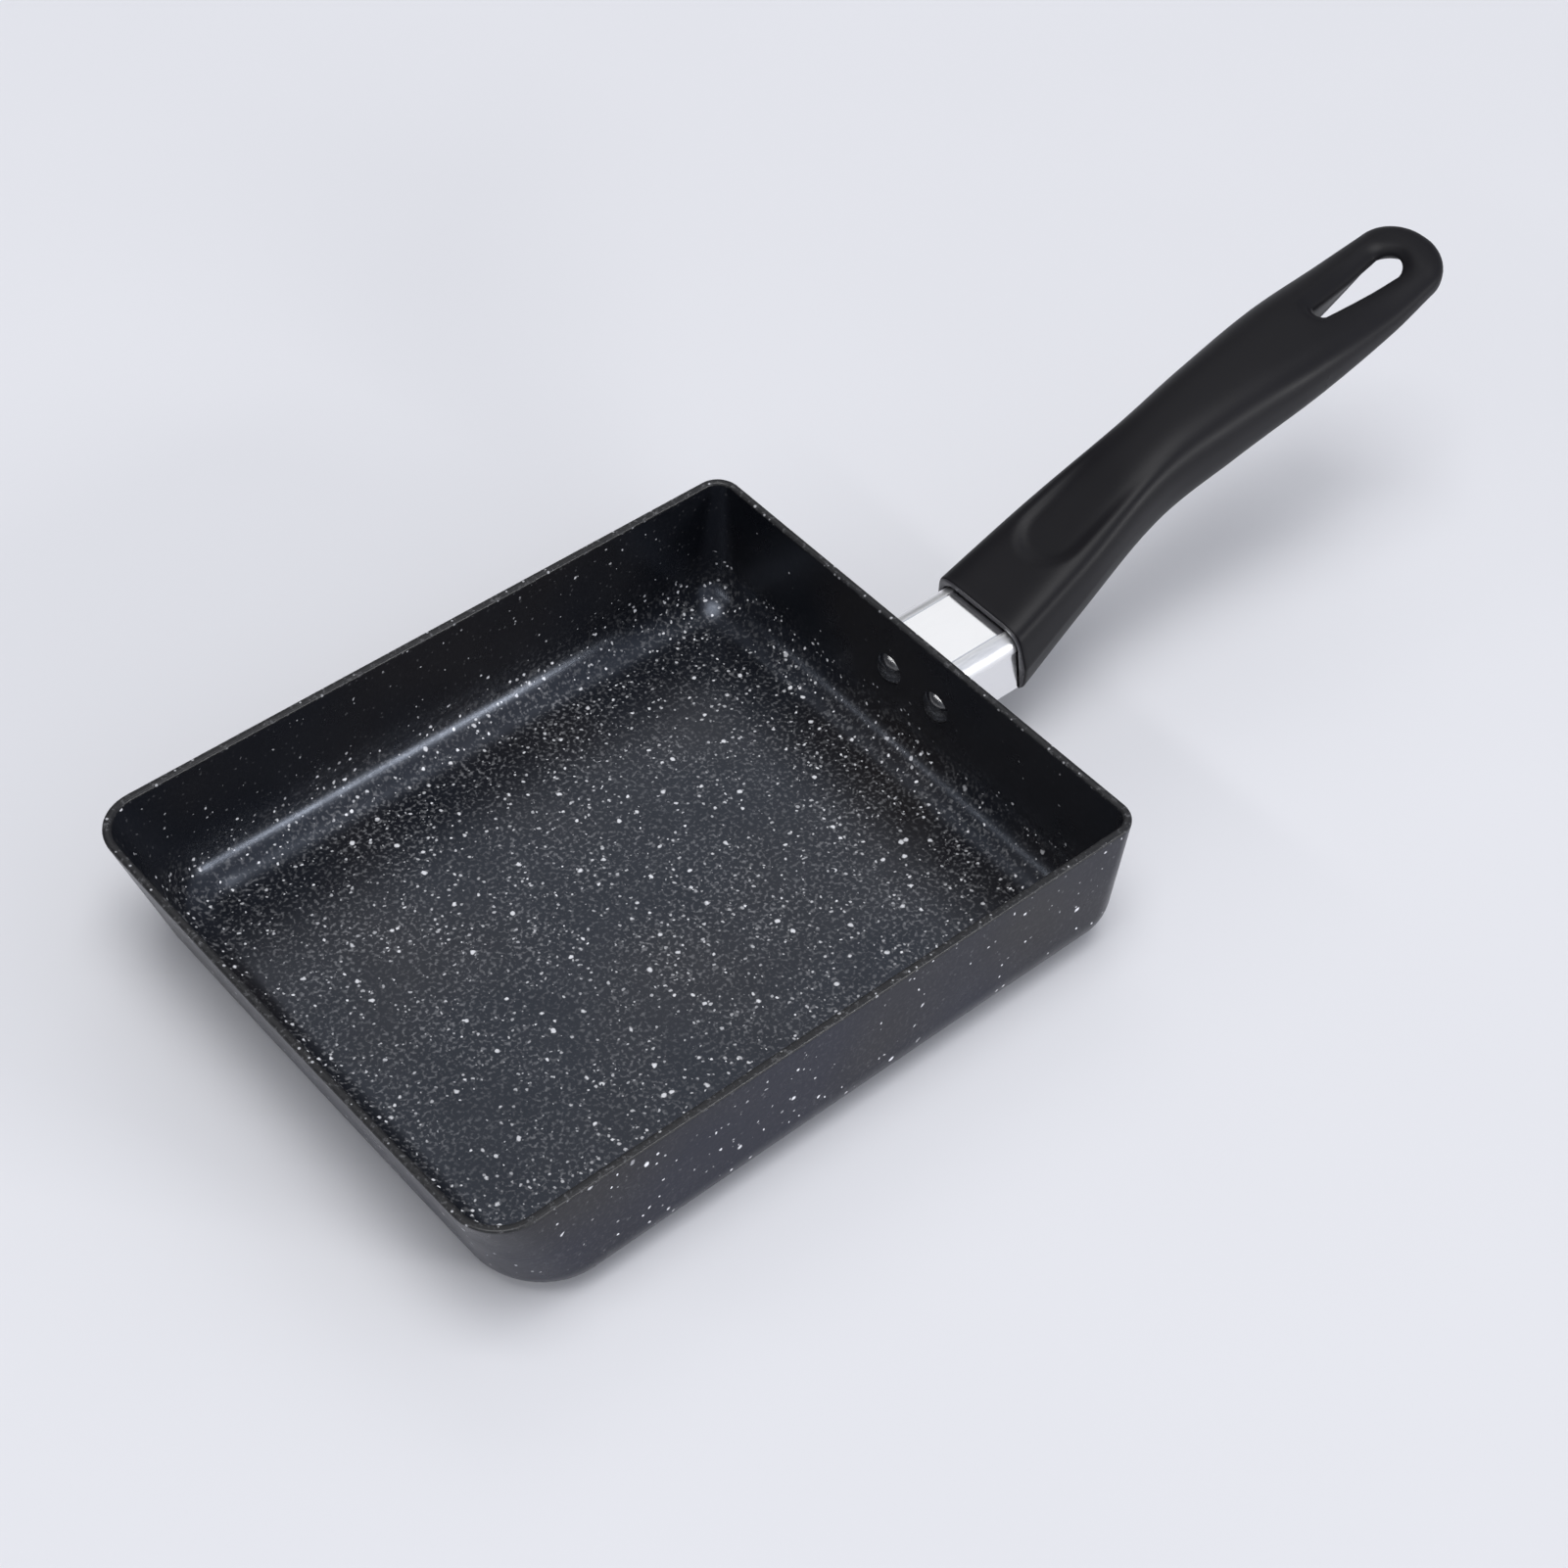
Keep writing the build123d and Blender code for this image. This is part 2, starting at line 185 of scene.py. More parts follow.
# Non-stick coating: its tones, then the sizes, noise ranges and strengths of its patterns
outside_ground = (0.0080, 0.0086, 0.0190, 1.0)
inside_ground = (0.0060, 0.0066, 0.0092, 1.0)
# Warm grey-brown tone of a painted reflection, laid in patches over the coating
painted_warm_reflection_tone = (0.0125, 0.0105, 0.0100, 1.0)
fleck_colour = (0.95, 0.95, 0.98, 1.0)
coating_tint = (0.75, 0.83, 1.0, 1.0)
warp_size = 0.0014
warp_reach = 0.0011
cloud_size = 0.02
cloud_noise = (0.35, 0.65)
cloud_shares = (0.4, 1.5)
cloud_fading = 1.7
mottle_size = 0.0010
mottle_noise = (0.52, 0.74)
clump_size = 0.007
clump_noise = (0.42, 0.66)
clump_shares = (0.25, 2.2)
small_fleck_spacing = 0.0017
small_fleck_size = 0.00052
large_fleck_spacing = 0.0036
large_fleck_size = 0.0008
dust_spacing = 0.0015
dust_size = 0.00045
dust_share = 0.45
dust_tone = 0.07
# Patches of the painted warm reflection: size, noise range and strongest share
painted_reflection_patch_size = 0.05
painted_reflection_patch_noise = (0.45, 0.7)
painted_reflection_patch_share = 0.8
wear_size = 0.012
coating_roughness = (0.25, 0.35)
peel_size = 0.0016
coating_grain_size = 0.0004
coating_grain_share = 0.25
coating_bump = 0.1
# From this level up to the next the pattern fades to the wall share: painted shade that keeps the walls
# darker than the floor
low_pattern_level = 0.25 * foot_fillet
high_pattern_level = 1.5 * foot_fillet

# Worn coating on the rim
rim_ground = (0.008, 0.008, 0.0095, 1.0)
rim_worn_colour = (0.45, 0.45, 0.47, 1.0)
rim_wear_size = 0.0012
rim_wear_noise = (0.55, 0.75)
rim_wear_tone = 0.3
rim_roughness = (0.3, 0.5)
rim_bump = 0.3
rim_fleck_spacing = 0.0016
rim_fleck_size = 0.0005
rim_fleck_share = 0.4

# Plastic and steel
plastic_colour = (0.0080, 0.0075, 0.0095)
# The mouth's end face is the same plastic coloured lighter: a painted reflection of the bright guard
painted_reflection_mouth_colour = (0.07, 0.068, 0.076)
rivet_colour = (0.007, 0.007, 0.009)
plastic_cloud_size = 0.02
plastic_grain_size = 0.0003
plastic_dim_share = 0.85
plastic_roughness_margin = 0.03
plastic_bump = 0.15
bright_colour = (0.96, 0.96, 0.965, 1.0)
satin_colour = (0.95, 0.95, 0.955, 1.0)
plain_colour = (0.5, 0.5, 0.5, 1.0)
plated_colour = (0.72, 0.72, 0.7, 1.0)
rolled_stretch = (0.08, 1.0, 1.0)
pressed_stretch = (0.1, 1.0, 1.0)
even_stretch = (1.0, 1.0, 1.0)
steel_mark_size = 0.0004
steel_mark_tones = (0.97, 1.0)
steel_cloud_size = 0.006
steel_cloud_tones = (0.95, 1.0)
steel_dim_share = 0.8
steel_roughness_shares = (0.8, 1.25)

# Depths of the bumps
surface_bump_depth = 0.0002
plastic_bump_depth = 0.0001
steel_bump_depth = 0.00005

# Floor
floor_reach = 6.0
floor_gap = 0.0001
floor_colour = (0.780, 0.780, 0.808, 1.0)
paper_cloud_size = 0.15
paper_dim_share = 0.985
paper_roughness = 0.9
paper_gloss = 0.1

# Light: soft lamps, a fill that is strongest from one side, and a pale backdrop, which reflections
# see in full up to one height of a direction of length 1 and no longer from another
backdrop_colour = (0.775, 0.775, 0.812, 1.0)
fill_low_strength = 0.12
fill_high_strength = 0.68
fill_high_way = (0.22, -0.74, 0.63)
fill_colour = (0.86, 0.9, 1.0, 1.0)
backdrop_full_height = 0.08
backdrop_end_height = 0.2
lamp_power_factor = 4
lamps = (
    # name, direction towards the lamp, distance, width, height, radiance
    ("top_softbox", (-0.12, -0.11, 1.0), 5.0, 3.0, 3.0, 3.85),
    ("back_softbox", (0.40, 0.50, 0.77), 3.0, 1.6, 1.35, 0.58),
    ("low_back_softbox", (0.38, 0.9, 0.34), 3.0, 2.2, 0.6, 0.3),
    ("side_softbox", (0.387, -0.9, 0.26), 2.5, 0.67, 0.24, 27.0),
    ("front_strip", (-0.79, 0.03, 0.60), 3.0, 3.8, 0.2, 5.0),
)


def direction_of(azimuth, elevation):
    """Unit vector from the object towards a viewer at an azimuth and elevation."""
    return Vector((math.sin(azimuth) * math.cos(elevation),
                   -math.cos(azimuth) * math.cos(elevation), math.sin(elevation)))


def make_camera():
    """Camera where the photograph's camera stood."""
    back = direction_of(camera_azimuth, camera_elevation)
    level_right = (-back).cross(Vector((0, 0, 1))).normalized()
    level_up = level_right.cross(-back)
    right = math.cos(camera_roll) * level_right + math.sin(camera_roll) * level_up
    up = -math.sin(camera_roll) * level_right + math.cos(camera_roll) * level_up
    data = bpy.data.cameras.new("photo_camera")
    data.lens = camera_lens
    data.sensor_width = camera_sensor
    camera = bpy.data.objects.new("photo_camera", data)
    turn = Matrix((right, up, back)).transposed().to_4x4()
    camera.matrix_world = Matrix.Translation(camera_place) @ turn
    bpy.context.scene.collection.objects.link(camera)
    bpy.context.scene.camera = camera


def make_lamp(name, towards, distance, width, height, radiance):
    """Rectangular soft lamp that faces the object; its power follows from its radiance."""
    data = bpy.data.lights.new(name, "AREA")
    data.shape = "RECTANGLE"
    data.size = width
    data.size_y = height
    data.energy = lamp_power_factor * radiance * width * height
    lamp = bpy.data.objects.new(name, data)
    way = Vector(towards).normalized()
    turn = way.to_track_quat("Z", "Y").to_matrix().to_4x4()
    lamp.matrix_world = Matrix.Translation(way * distance) @ turn
    bpy.context.scene.collection.objects.link(lamp)


def make_world():
    """Soft fill for the object, and a pale backdrop for the camera and, low down, for reflections."""
    world = bpy.data.worlds.new("studio")
    world.use_nodes = True
    bpy.context.scene.world = world
    tree = world.node_tree
    tree.nodes.clear()
    path = add(tree, "ShaderNodeLightPath")
    way = add(tree, "ShaderNodeTexCoord").outputs["Generated"]
    high = add(tree, "ShaderNodeVectorMath", {0: way, 1: fill_high_way}, operation="DOT_PRODUCT")
    strength = in_range(tree, high.outputs["Value"], 0.0, 1.0, fill_low_strength, fill_high_strength)
    fill = add(tree, "ShaderNodeBackground", {"Color": fill_colour, "Strength": strength})
    seen = add(tree, "ShaderNodeBackground", {"Color": backdrop_colour, "Strength": 1.0})
    level = add(tree, "ShaderNodeSeparateXYZ", {0: way}).outputs[2]
    low = in_range(tree, level, backdrop_full_height, backdrop_end_height, 1.0, 0.0)
    mirrored = maths(tree, "MAXIMUM", path.outputs["Is Glossy Ray"], path.outputs["Is Transmission Ray"])
    share = maths(tree, "MAXIMUM", path.outputs["Is Camera Ray"], maths(tree, "MULTIPLY", mirrored, low))
    mixed = add(tree, "ShaderNodeMixShader", {0: share, 1: fill.outputs[0], 2: seen.outputs[0]})
    add(tree, "ShaderNodeOutputWorld", {"Surface": mixed.outputs[0]})


def add(tree, kind, inputs=None, **settings):
    """New node with its settings, and its inputs set to values or linked to sockets."""
    node = tree.nodes.new(kind)
    for key, value in settings.items():
        setattr(node, key, value)
    for key, value in (inputs or {}).items():
        if isinstance(value, bpy.types.NodeSocket):
            tree.links.new(value, node.inputs[key])
        else:
            node.inputs[key].default_value = value
    return node


def maths(tree, operation, first, second=0.0, clamp=False):
    """Result of a sum of one or two values."""
    node = add(tree, "ShaderNodeMath", {0: first, 1: second}, operation=operation, use_clamp=clamp)
    return node.outputs[0]


def new_material(name, **sockets):
    """Material with uniform values on its shader; a low line in a key stands for a space."""
    material = bpy.data.materials.new(name)
    material.use_nodes = True
    tree = material.node_tree
    shader = tree.nodes["Principled BSDF"]
    for key, value in sockets.items():
        shader.inputs[key.replace("_", " ")].default_value = value
    return material, tree, shader


def place_of(tree):
    """Place on the object, in metres."""
    return add(tree, "ShaderNodeTexCoord").outputs["Object"]


def noise(tree, place, size, detail=2.0, rough=0.5):
    """Noise whose features have about the given size in metres."""
    return add(tree, "ShaderNodeTexNoise",
               {"Vector": place, "Scale": 1.0 / size, "Detail": detail, "Roughness": rough})


def warped(tree, place, size, amount):
    """Place pushed about by noise, so that patterns lose their regular shapes."""
    push = noise(tree, place, size).outputs["Color"]
    push = add(tree, "ShaderNodeVectorMath", {0: push, 1: noise_middle}, operation="SUBTRACT").outputs[0]
    push = add(tree, "ShaderNodeVectorMath", {0: push, "Scale": amount}, operation="SCALE").outputs[0]
    return add(tree, "ShaderNodeVectorMath", {0: place, 1: push}, operation="ADD").outputs[0]


def in_range(tree, value, low, high, to_low=0.0, to_high=1.0):
    """Value carried from one range to another and held at its ends."""
    node = add(tree, "ShaderNodeMapRange",
               {"Value": value, "From Min": low, "From Max": high, "To Min": to_low, "To Max": to_high})
    return node.outputs["Result"]


def flecks(tree, place, spacing, size, share):
    """Mask of scattered flecks, each with its own brightness, in a share of the cells."""
    cells = add(tree, "ShaderNodeTexVoronoi", {"Vector": place, "Scale": 1.0 / spacing})
    chance = add(tree, "ShaderNodeSeparateColor", {0: cells.outputs["Color"]})
    shown = maths(tree, "LESS_THAN", chance.outputs[0], share)
    radius = in_range(tree, chance.outputs[1], 0.0, 1.0, least_fleck_share * size / spacing, size / spacing)
    edge = maths(tree, "DIVIDE", cells.outputs["Distance"], radius)
    spot = in_range(tree, edge, 1.0, full_fleck_share)
    light = in_range(tree, chance.outputs[2], 0.0, 1.0, *fleck_lights)
    return maths(tree, "MULTIPLY", maths(tree, "MULTIPLY", spot, shown), light)


def mixed_colour(tree, share, first, second):
    """Colour between two colours or colour sockets."""
    node = add(tree, "ShaderNodeMix", {"Factor": share, 6: first, 7: second}, data_type="RGBA")
    return node.outputs[2]


def dimmed(colour, share):
    """Colour times a share, with full alpha."""
    return tuple(share * part for part in colour[:3]) + (1.0,)


def set_bump(tree, shader, height, strength, depth):
    """Give the shader a bump from a pattern of heights."""
    bump = add(tree, "ShaderNodeBump", {"Height": height, "Strength": strength, "Distance": depth})
    tree.links.new(bump.outputs[0], shader.inputs["Normal"])


def coating_flecks(tree, place, painted_wall_shade_share, fleck_share):
    """Mask of white flecks in clumps, of two sizes, thinned up the walls as painted shade."""
    clumps = in_range(tree, noise(tree, place, clump_size).outputs["Fac"], *clump_noise, *clump_shares)
    share = maths(tree, "MULTIPLY", maths(tree, "MULTIPLY", clumps, fleck_share), painted_wall_shade_share)
    bent = warped(tree, place, warp_size, warp_reach)
    small = flecks(tree, bent, small_fleck_spacing, small_fleck_size, share)
    large = flecks(tree, bent, large_fleck_spacing, large_fleck_size, share)
    return maths(tree, "MAXIMUM", small, large, clamp=True)


def coating_haze(tree, place, painted_wall_shade_share, mottle):
    """Mask of soft mottling in clouds, fading up the walls as painted shade, with faint fine flecks over all
    of it.
    """
    cloud = noise(tree, place, cloud_size, detail=3.0).outputs["Fac"]
    cloud = in_range(tree, cloud, *cloud_noise, *cloud_shares)
    cloud = maths(tree, "MULTIPLY", cloud, maths(tree, "POWER", painted_wall_shade_share, cloud_fading))
    bent = warped(tree, place, warp_size, warp_reach)
    spots = noise(tree, bent, mottle_size, detail=1.0).outputs["Fac"]
    spots = in_range(tree, spots, *mottle_noise, 0.0, mottle)
    dust = flecks(tree, bent, dust_spacing, dust_size, dust_share)
    dust = maths(tree, "MULTIPLY", dust, dust_tone)
    return maths(tree, "MAXIMUM", maths(tree, "MULTIPLY", spots, cloud), dust)


def make_coating(name, ground, mottle, fleck_share, gloss, painted_shade_wall_share=1.0):
    """Non-stick coating: near-black, mottled and flecked, less so up the walls as painted shade, with an
    orange peel and warm patches of painted reflection.
    """
    material, tree, shader = new_material(name, IOR=resin_index, Specular_IOR_Level=gloss,
                                          Specular_Tint=coating_tint)
    place = place_of(tree)
    level = add(tree, "ShaderNodeSeparateXYZ", {0: place}).outputs[2]
    # Share of the pattern, full on the floor and falling up the walls: painted shade
    painted_wall_shade_share = in_range(tree, level, low_pattern_level, high_pattern_level, 1.0, painted_shade_wall_share)
    haze = coating_haze(tree, place, painted_wall_shade_share, mottle)
    white = coating_flecks(tree, place, painted_wall_shade_share, fleck_share)
    pattern = maths(tree, "MAXIMUM", haze, white, clamp=True)
    # Warm patches at random places: a painted reflection
    painted_warm_reflection = noise(tree, place, painted_reflection_patch_size, detail=1.0).outputs["Fac"]
    painted_warm_reflection = in_range(tree, painted_warm_reflection, *painted_reflection_patch_noise, 0.0, painted_reflection_patch_share)
    colour = mixed_colour(tree, pattern, mixed_colour(tree, painted_warm_reflection, ground, painted_warm_reflection_tone), fleck_colour)
    tree.links.new(colour, shader.inputs["Base Color"])
    wear = noise(tree, place, wear_size, detail=4.0, rough=0.6).outputs["Fac"]
    tree.links.new(in_range(tree, wear, noise_low, noise_high, *coating_roughness),
                   shader.inputs["Roughness"])
    peel = noise(tree, place, peel_size).outputs["Fac"]
    grain = noise(tree, place, coating_grain_size, detail=1.0).outputs["Fac"]
    height = maths(tree, "ADD", peel, maths(tree, "MULTIPLY", grain, coating_grain_share))
    set_bump(tree, shader, height, coating_bump, surface_bump_depth)
    return material


def make_rim_material():
    """Coating over the edge of the sheet, broken by lighter worn specks."""
    material, tree, shader = new_material("worn_rim", IOR=resin_index)
    place = place_of(tree)
    worn = noise(tree, place, rim_wear_size, detail=4.0, rough=0.7).outputs["Fac"]
    spots = maths(tree, "MAXIMUM", in_range(tree, worn, *rim_wear_noise, 0.0, rim_wear_tone),
                  flecks(tree, place, rim_fleck_spacing, rim_fleck_size, rim_fleck_share))
    tree.links.new(mixed_colour(tree, spots, rim_ground, rim_worn_colour), shader.inputs["Base Color"])
    tree.links.new(in_range(tree, worn, noise_low, noise_high, *rim_roughness), shader.inputs["Roughness"])
    set_bump(tree, shader, worn, rim_bump, surface_bump_depth)
    return material


def make_plastic(name, colour, roughness, gloss, index=resin_index):
    """Near-black plastic or lacquer, with a fine grain and slightly uneven gloss."""
    material, tree, shader = new_material(name, IOR=index, Specular_IOR_Level=gloss)
    place = place_of(tree)
    cloud = noise(tree, place, plastic_cloud_size, detail=3.0).outputs["Fac"]
    cloud = in_range(tree, cloud, noise_low, noise_high)
    tree.links.new(mixed_colour(tree, cloud, dimmed(colour, plastic_dim_share), dimmed(colour, 1.0)),
                   shader.inputs["Base Color"])
    roughness_range = (roughness - plastic_roughness_margin, roughness + plastic_roughness_margin)
    tree.links.new(in_range(tree, cloud, 0.0, 1.0, *roughness_range), shader.inputs["Roughness"])
    grain = noise(tree, place, plastic_grain_size, detail=3.0, rough=0.6).outputs["Fac"]
    set_bump(tree, shader, grain, plastic_bump, plastic_bump_depth)
    return material


def make_steel(name, colour, roughness, stretch, bump):
    """Steel with fine marks, drawn out along an axis where its stretch is below 1."""
    material, tree, shader = new_material(name, Metallic=1.0)
    place = place_of(tree)
    drawn = add(tree, "ShaderNodeMapping", {"Vector": place, "Scale": stretch}).outputs[0]
    marks = noise(tree, drawn, steel_mark_size, detail=3.0, rough=0.6).outputs["Fac"]
    cloud = noise(tree, place, steel_cloud_size, detail=3.0).outputs["Fac"]
    tint = maths(tree, "MULTIPLY", in_range(tree, cloud, noise_low, noise_high, *steel_cloud_tones),
                 in_range(tree, marks, noise_low, noise_high, *steel_mark_tones))
    tree.links.new(mixed_colour(tree, tint, dimmed(colour, steel_dim_share), colour),
                   shader.inputs["Base Color"])
    roughness_range = (roughness * share for share in steel_roughness_shares)
    tree.links.new(in_range(tree, marks, noise_low, noise_high, *roughness_range),
                   shader.inputs["Roughness"])
    set_bump(tree, shader, marks, bump, steel_bump_depth)
    return material


def make_paper_material():
    """Pale matt paper with faint clouds."""
    material, tree, shader = new_material("pale_paper", Roughness=paper_roughness,
                                          Specular_IOR_Level=paper_gloss)
    cloud = noise(tree, place_of(tree), paper_cloud_size).outputs["Fac"]
    tone = in_range(tree, cloud, noise_low, noise_high)
    tree.links.new(mixed_colour(tree, tone, dimmed(floor_colour, paper_dim_share), floor_colour),
                   shader.inputs["Base Color"])
    return material


def pan_ring(level, inset):
    """Outline of the pan at one level, drawn in by the inset: the same points at every level."""
    rise = level / pan_height
    back = rim_length / 2 - inset
    front = front_lean * (1 - rise) + inset - rim_length / 2
    side = rim_width / 2 - side_lean * (1 - rise) - inset
    bow = foot_bow + (rim_bow - foot_bow) * rise
    front_radius = foot_front_radius + (rim_front_radius - foot_front_radius) * rise - inset
    back_radius = foot_back_radius + (rim_back_radius - foot_back_radius) * rise - inset

    def front_line(y):
        return front - bow * (1 - (y / side) ** 2)

    slope = math.atan(2 * bow * (side - front_radius) / side ** 2)
    end_y = side - front_radius + front_radius * math.sin(slope)
    corner_x = front_line(end_y) + front_radius * math.cos(slope)
    half = []
    for step in range(straight_steps // 2):
        y = 2 * step / straight_steps * (side - back_radius)
        half.append((back, y))
    for step in range(corner_steps + 1):
        angle = math.pi / 2 * step / corner_steps
        half.append((back - back_radius * (1 - math.cos(angle)), side - back_radius * (1 - math.sin(angle))))
    start_x = back - back_radius
    for step in range(1, straight_steps):
        half.append((start_x + (corner_x - start_x) * step / straight_steps, side))
    for step in range(corner_steps + 1):
        angle = math.pi / 2 + (math.pi / 2 - slope) * step / corner_steps
        half.append((corner_x + front_radius * math.cos(angle), side - front_radius * (1 - math.sin(angle))))
    for step in range(1, straight_steps // 2):
        y = end_y * (1 - 2 * step / straight_steps)
        half.append((front_line(y), y))
    ring = half + [(front_line(0), 0)] + [(x, -y) for x, y in reversed(half[1:])]
    return [Vector((x, y, level)) for x, y in ring]


def fillet_rings(inset, floor_level, radius):
    """Rings of the round between a wall and the floor, from the wall to the floor."""
    foot = pan_ring(floor_level, inset)
    inner = pan_ring(floor_level, inset + pan_sheet)
    rim = pan_ring(pan_height, inset)
    rings = [[] for step in range(fillet_steps + 1)]
    for low, inward, high in zip(foot, inner, rim):
        up = (high - low).normalized()
        across = (inward - low).normalized()
        lean = math.atan(front_lean * max(across.x, 0.0) / pan_height)
        reach = radius / math.tan((math.pi / 2 + lean) / 2)
        half_angle = up.angle(across) / 2
        centre = low + (up + across).normalized() * reach / math.cos(half_angle)
        first = low + up * reach - centre
        last = low + across * reach - centre
        turn = first.angle(last)
        for step in range(fillet_steps + 1):
            way = step / fillet_steps
            arm = (first * math.sin((1 - way) * turn) + last * math.sin(way * turn)) / math.sin(turn)
            rings[step].append(centre + arm)
    return rings


def blended(first, last, way):
    """Ring between two rings."""
    return [a.lerp(b, way) for a, b in zip(first, last)]


def wall_rings(first, last):
    """Rings from one edge of a wall to the other, with a narrow band at each end."""
    height = abs(last[0].z - first[0].z)
    band = support_width / height
    return [blended(first, last, way) for way in (0.0, band, *wall_shares, 1 - band, 1.0)]


def floor_rings(edge, centre):
    """Rings from the edge of the flat floor towards its middle, the first band narrow."""
    band = support_width / (edge[0] - centre).length
    ways = [0.0, band] + [step / floor_steps for step in range(1, floor_steps)]
    return [[point.lerp(centre, way) for point in edge] for way in ways]


def rim_rings():
    """Rings over the rounded edge of the sheet, from the outer wall to the inner."""
    outer = []
    inner = []
    for step in range(rim_steps + 1):
        angle = math.pi / 2 * step / rim_steps
        level = pan_height - rim_round * (1 - math.sin(angle))
        inset = rim_round * (1 - math.cos(angle))
        outer.append(pan_ring(level, inset))
        inner.append(pan_ring(level, pan_sheet - inset))
    return outer + inner[::-1]


def make_ring_mesh(name, groups, materials):
    """Closed mesh from groups of rings, each group with its material; its ends are closed flat."""
    points = []
    faces = []
    marks = []
    count = len(groups[0][1][0])
    previous = None
    for mark, rings in groups:
        for ring in rings:
            start = len(points)
            points.extend(ring)
            if previous is not None:
                for step in range(count):
                    after = (step + 1) % count
                    faces.append((previous + step, previous + after, start + after, start + step))
                    marks.append(mark)
            previous = start
    faces.append(tuple(reversed(range(count))))
    marks.append(groups[0][0])
    faces.append(tuple(range(len(points) - count, len(points))))
    marks.append(groups[-1][0])
    mesh = bpy.data.meshes.new(name)
    mesh.from_pydata(points, [], faces)
    for face, mark in zip(mesh.polygons, marks):
        face.material_index = mark
        face.use_smooth = True
    for material in materials:
        mesh.materials.append(material)
    piece = bpy.data.objects.new(name, mesh)
    bpy.context.scene.collection.objects.link(piece)
    return piece


def without_doubles(groups):
    """Drop each ring that lies on the one before it."""
    kept = []
    last = None
    for mark, rings in groups:
        rings_kept = []
        for ring in rings:
            if last is None or max((a - b).length for a, b in zip(ring, last)) > same_ring_distance:
                rings_kept.append(ring)
                last = ring
        kept.append((mark, rings_kept))
    return kept


def make_pan_body(outside, rim_material, inside):
    """Pan body as one closed mesh, from the middle of its underside over the rim to its floor."""
    outer_fillet = fillet_rings(0.0, 0.0, foot_fillet)
    inner_fillet = fillet_rings(pan_sheet, pan_sheet, foot_fillet - pan_sheet)
    rim = rim_rings()
    under = floor_rings(outer_fillet[-1], Vector((floor_middle_x, 0, 0)))
    floor = floor_rings(inner_fillet[-1], Vector((floor_middle_x, 0, pan_sheet)))
    groups = [
        (0, under[::-1]),
        (0, outer_fillet[::-1]),
        (0, wall_rings(outer_fillet[0], rim[0])),
        (1, rim),
        (2, wall_rings(rim[-1], inner_fillet[0])),
        (2, inner_fillet),
        (2, floor),
    ]
    piece = make_ring_mesh("pan_sheet_body", without_doubles(groups), (outside, rim_material, inside))
    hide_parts("pan_body")
    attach(piece, "root")


def at_place(values, place):
    """Value between the handle's stations, on a smooth curve through all of them."""
    places = station_place_shares
    last = len(places) - 1
    start = max(0, min(last - 1, sum(place >= station for station in places) - 1))

    def slope(station):
        before, after = max(station - 1, 0), min(station + 1, last)
        return (values[after] - values[before]) / (places[after] - places[before])

    width = places[start + 1] - places[start]
    way = (place - places[start]) / width
    return (values[start] * (1 - way) ** 2 * (1 + 2 * way)
            + values[start + 1] * way ** 2 * (3 - 2 * way)
            + slope(start) * width * way * (1 - way) ** 2
            - slope(start + 1) * width * way ** 2 * (1 - way))


def handle_form(x):
    """Middle height, half depth and half width of the handle at a place along it."""
    place = (x - mouth_face) / handle_length
    root_share = station_place_shares[-1]
    body = min(place, root_share)
    top = mouth_top + handle_rise * at_place(station_rise_shares, body)
    half_depth = at_place(station_depths, body) / 2
    half_width = at_place(station_widths, body) / 2
    middle = top - half_depth
    if place > root_share:
        tip_share = 1 - root_share
        reach = min((place - root_share) / tip_share, 1.0)
        narrowing = math.sqrt(1 - reach ** 2)
        before = handle_form(mouth_face + handle_length * (root_share - tip_share))[0]
        middle += (middle - before) * reach
        half_width *= narrowing
        half_depth *= narrowing ** tip_roundness
    return middle, half_depth, half_width


def section_point(x, angle):
    """Point of the handle's skin, at an angle from the side crease on +Y over the top."""
    middle, half_depth, half_width = handle_form(x)
    place = min((x - mouth_face) / handle_length, station_place_shares[-1])
    upper = math.sin(angle) > 0
    square = at_place(upper_squareness if upper else lower_squareness, place)
    lean = max(at_place(upper_lean_shares if upper else lower_lean_shares, place), 0.0)
    across = math.cos(angle)
    up = math.sin(angle)
    size = (abs(across) ** square + abs(up) ** square) ** (-1 / square)
    y = half_width * size * across * (1 - lean * abs(size * up))
    z = middle + half_depth * size * up
    return Vector((x, y, z - (thumb_sink(x, y) if upper else 0.0)))


def smooth_step(way):
    """Share from 0 to 1 that starts and ends gently."""
    way = min(max(way, 0.0), 1.0)
    return way * way * (3 - 2 * way)


def thumb_sink(x, y):
    """Depth of the thumb hollow, which has a round lip at its near end and fades out beyond."""
    along = x - mouth_face - thumb_start
    half = thumb_width / 2
    if along < half:
        inside = half - math.hypot(half - along, y)
    else:
        inside = half - abs(y)
    fading = 1 - smooth_step((along - thumb_full) / (thumb_length - thumb_full))
    return thumb_depth * smooth_step(inside / thumb_lip) * fading


def flat_height(x, y, side):
    """Height of the handle's skin round the hanging slot, on its top or its underside."""
    middle, half_depth, half_width = handle_form(x)
    square = upper_squareness[-1]
    share = min(abs(y) / half_width, 1.0) if half_width > 0 else 1.0
    return middle + side * half_depth * (1 - share ** square) ** (1 / square)


def arc_points(centre, radius, first, last, steps):
    """Points on an arc between two angles, without the last."""
    points = []
    for step in range(steps):
        angle = first + (last - first) * step / steps
        points.append((centre[0] + radius * math.cos(angle), centre[1] + radius * math.sin(angle)))
    return points


def straight_points(first, last, steps):
    """Points on a line, without the last."""
    return [tuple(a + (b - a) * step / steps for a, b in zip(first, last)) for step in range(steps)]


